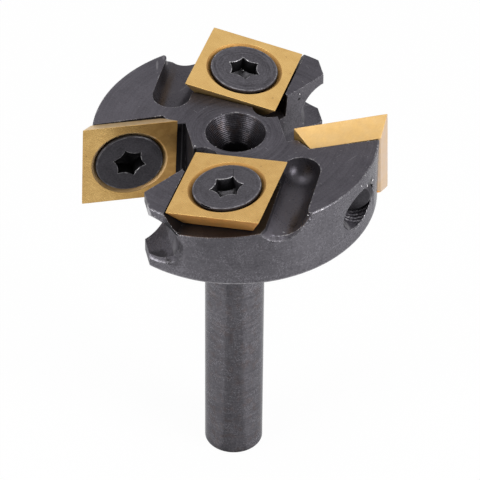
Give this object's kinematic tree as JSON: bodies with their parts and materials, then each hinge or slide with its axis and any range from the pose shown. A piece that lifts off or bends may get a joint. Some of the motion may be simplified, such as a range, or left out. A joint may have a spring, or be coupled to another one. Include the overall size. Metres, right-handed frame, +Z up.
{
  "type": "surfacing router bit",
  "caption": "Surfacing router bit: a wide steel head on a plain round shank, with bevelled cutting inserts screwed to its face and rim.",
  "frame": {"origin": "centre of the shank's flat end, at the bottom of the part", "axes": "+Z runs up the shank, which is the axis of rotation, to the cutting face. -Y is towards the front face insert, +Y towards the back one, -X towards the left upright insert and +X towards the right one."},
  "size_m": [0.0642, 0.063, 0.0903],
  "materials": {
    "black_oxide_steel": "black-oxide steel, fine machined grain",
    "gold_nitride": "gold nitride coat on ground carbide, satin",
    "blackened_screw": "blackened steel with turning marks"
  },
  "bodies": {
    "root": {"cutter_body": "black_oxide_steel", "face_insert_front": "gold_nitride", "face_insert_back": "gold_nitride", "side_insert_left": "gold_nitride", "side_insert_right": "gold_nitride", "face_screw_front": "blackened_screw", "face_screw_back": "blackened_screw", "side_screw_left": "blackened_screw", "side_screw_right": "blackened_screw"}
  },
  "joints": []
}
